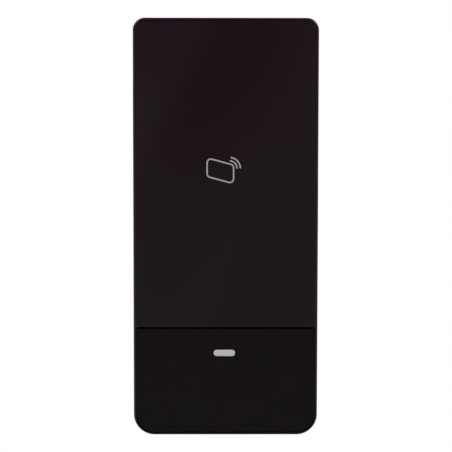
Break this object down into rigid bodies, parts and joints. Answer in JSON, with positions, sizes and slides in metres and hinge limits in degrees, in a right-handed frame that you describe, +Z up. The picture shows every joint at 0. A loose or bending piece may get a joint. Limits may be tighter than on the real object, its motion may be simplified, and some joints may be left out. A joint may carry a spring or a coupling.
{
  "type": "rfid card reader",
  "caption": "Slim wall-mounted card reader with a push-fit lower cover over its fixing screw, a status light, a reading symbol and a hook-on wall plate.",
  "frame": {"origin": "on the wall, at the centre of the wall-screw pattern, which is also mid-height and mid-width of the case", "axes": "+X to the right seen from the front, +Y from the front into the wall, +Z up"},
  "size_m": [0.052, 0.0175, 0.1176],
  "materials": {
    "zinc_plated_steel": "zinc-plated pressed steel, slightly mottled",
    "gloss_black_shell": "high-gloss black plastic with a faint purple cast",
    "matt_black_shell": "fine spark-textured black plastic",
    "matt_black_cover": "very fine satin-textured black plastic",
    "seal_rubber": "dark grey silicone cord",
    "foam_seal": "closed-cell foam",
    "vent_film": "matt white membrane",
    "screw_steel": "zinc-plated screws",
    "stainless_screw": "stainless steel security screw",
    "spring_steel": "phosphated spring steel",
    "diffuser_plastic": "milky light-diffusing plastic",
    "clear_plastic": "clear polycarbonate",
    "printed_ink": "light grey screen-printed ink",
    "white_plastic": "natural acetal",
    "chip_plastic": "moulding compound",
    "solder_mask": "green solder mask over copper tracks",
    "antenna_laminate": "green laminate",
    "copper_track": "copper under thin lacquer",
    "ferrite": "dark grey ferrite",
    "gold_contact": "gold-flashed pins",
    "can_metal": "satin metal can",
    "tantalum_yellow": "ochre moulded case",
    "ceramic_tan": "ceramic chips with tinned ends",
    "led_resin": "clear resin with a pale phosphor",
    "terminal_green": "green polyamide"
  },
  "bodies": {
    "wall_plate": {"mounting_plate": "zinc_plated_steel", "plate_nut": "zinc_plated_steel"},
    "reader": {"front_housing": "gloss_black_shell", "rear_housing": "matt_black_shell", "housing_gasket": "seal_rubber", "housing_screws": "screw_steel", "wiring_seal": "foam_seal", "vent_membrane": "vent_film", "led_window": "clear_plastic", "card_symbol": "printed_ink", "tamper_switch": "chip_plastic", "main_pcb": "solder_mask", "pcb_screws": "screw_steel", "antenna_board": "antenna_laminate", "antenna_coil": "copper_track", "ferrite_sheet": "ferrite", "antenna_header": "gold_contact", "reader_chip": "chip_plastic", "controller_chip": "chip_plastic", "crystal": "can_metal", "power_inductor": "ferrite", "tantalum_capacitors": "tantalum_yellow", "chip_passives": "ceramic_tan", "status_leds": "led_resin", "buzzer": "chip_plastic", "terminal_block": "terminal_green", "terminal_screws": "screw_steel"},
    "cover": {"lower_cover": "matt_black_cover", "led_lens": "diffuser_plastic"},
    "plunger": {"tamper_plunger": "white_plastic"},
    "screw_ring": {"captive_washer": "spring_steel"},
    "screw": {"fixing_screw": "stainless_screw"}
  },
  "joints": [
    {"name": "reader_swing", "type": "hinge", "parent": "wall_plate", "child": "reader", "pos_m": [0, -0.0032, 0.0532], "axis": [-1, 0, 0], "range_deg": [0, 10]},
    {"name": "cover_pull", "type": "slide", "parent": "reader", "child": "cover", "axis": [0, -1, 0], "range_m": [0, 0.02]},
    {"name": "tamper_travel", "type": "slide", "parent": "reader", "child": "plunger", "axis": [0, 1, 0], "range_m": [0, 0.001], "stiffness_N_per_m": 250, "springref_m": 0.002},
    {"name": "screw_travel", "type": "slide", "parent": "reader", "child": "screw_ring", "axis": [0, -1, 0], "range_m": [0, 0.003]},
    {"name": "screw_turn", "type": "hinge", "parent": "screw_ring", "child": "screw", "pos_m": [0, -0.0086, -0.0495], "axis": [0, -1, 0], "range_deg": [0, 2160]}
  ],
  "couplings": [
    {"joint": "screw_turn", "follows": "screw_travel", "rad_per_m": 12566}
  ]
}
